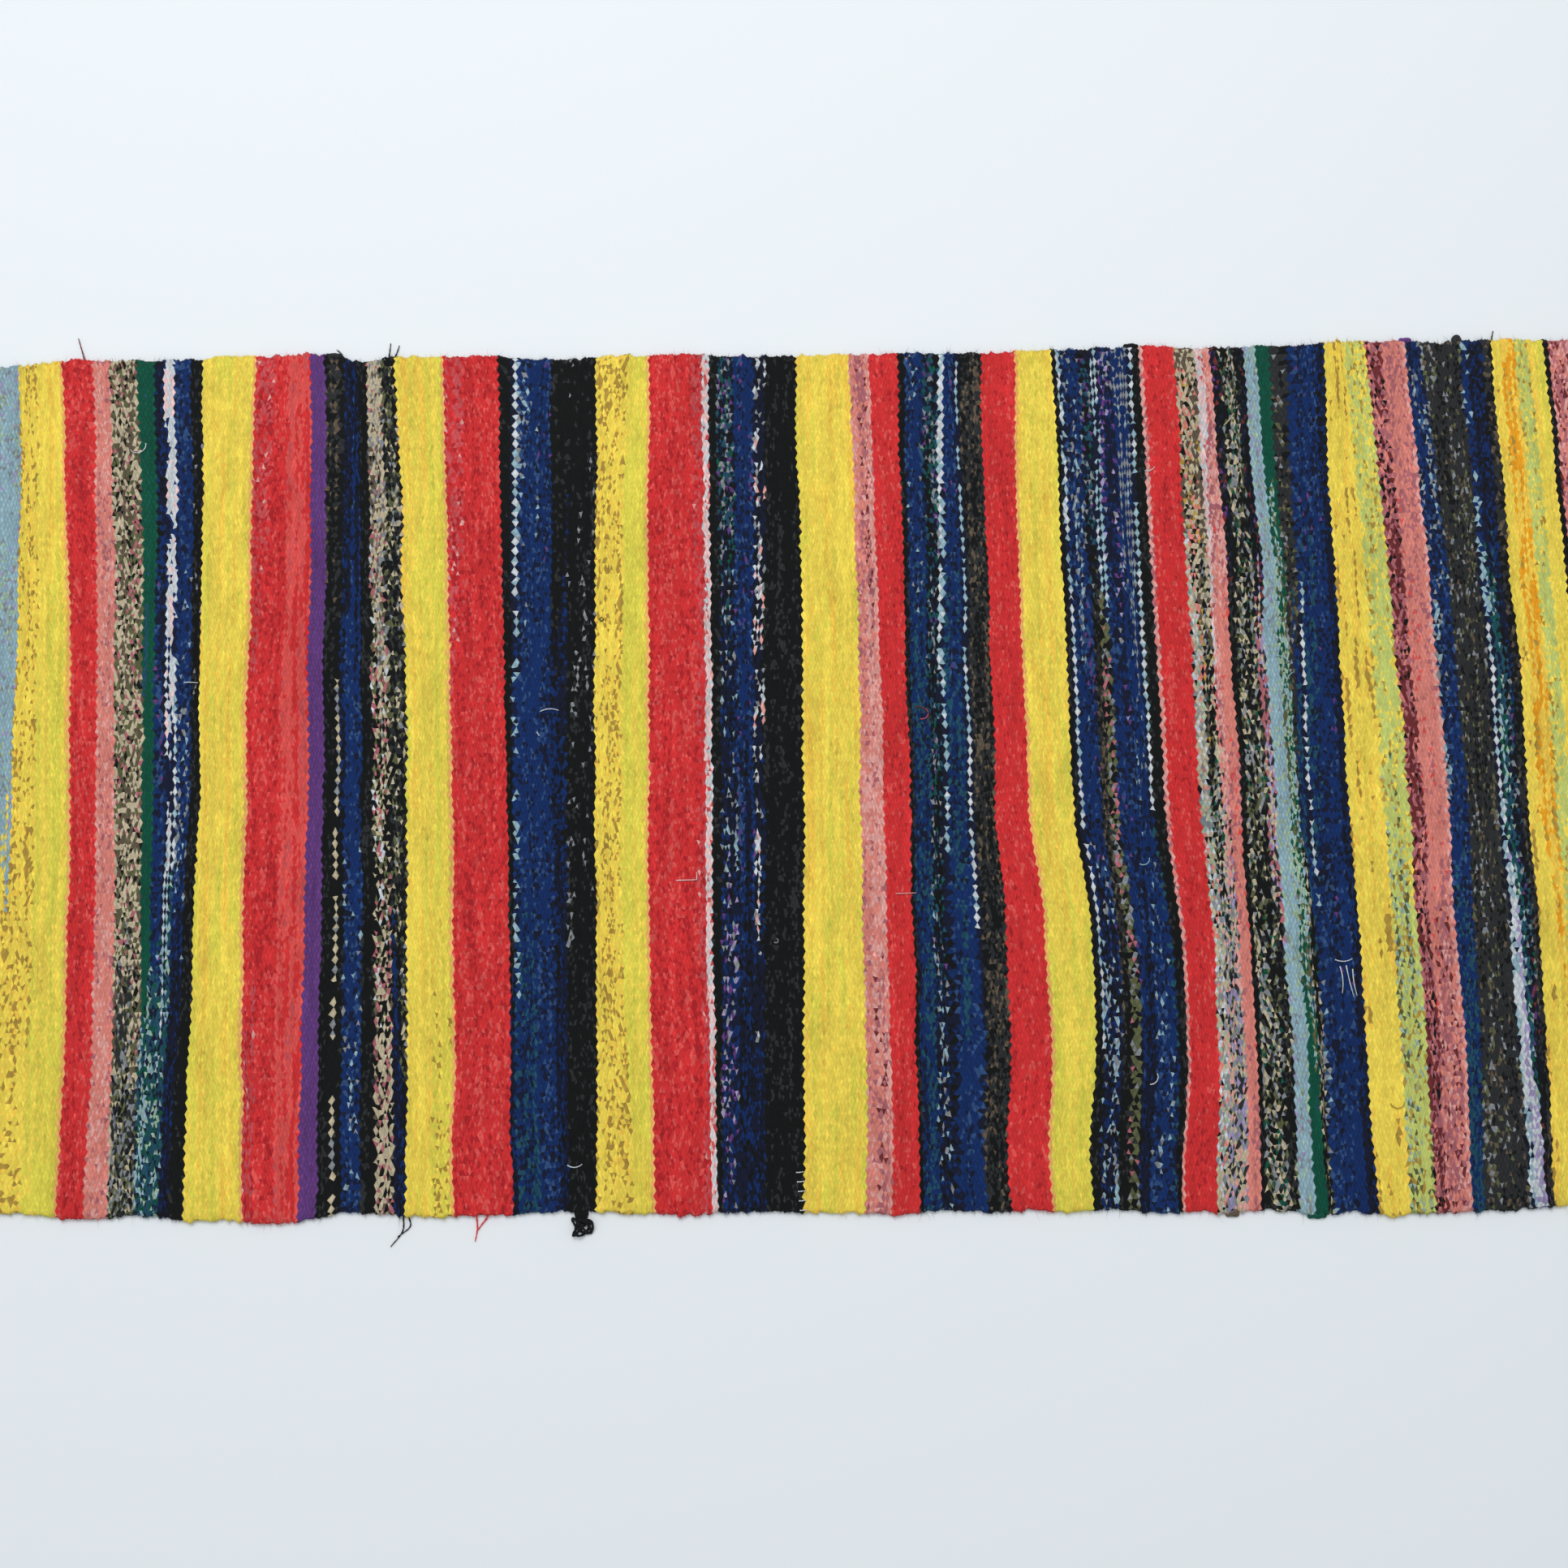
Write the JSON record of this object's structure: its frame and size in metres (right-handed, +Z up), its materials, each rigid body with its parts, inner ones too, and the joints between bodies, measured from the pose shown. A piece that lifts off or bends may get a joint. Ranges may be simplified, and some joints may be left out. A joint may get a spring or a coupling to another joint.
{
  "type": "striped flat-woven runner rug",
  "caption": "Long narrow weft-faced wool runner that lies flat on a floor, with uneven selvedges, loose weft ends and turned end hems.",
  "frame": {"origin": "centre of the rug's box, on the floor it lies on", "axes": "+X along the rug, +Y across it to the far selvedge, +Z up"},
  "size_m": [2.4, 0.7074, 0.0076],
  "materials": {
    "wool_weave": "matte weft-faced wool weave in cross stripes"
  },
  "bodies": {
    "root": {"rug": "wool_weave"}
  },
  "joints": []
}
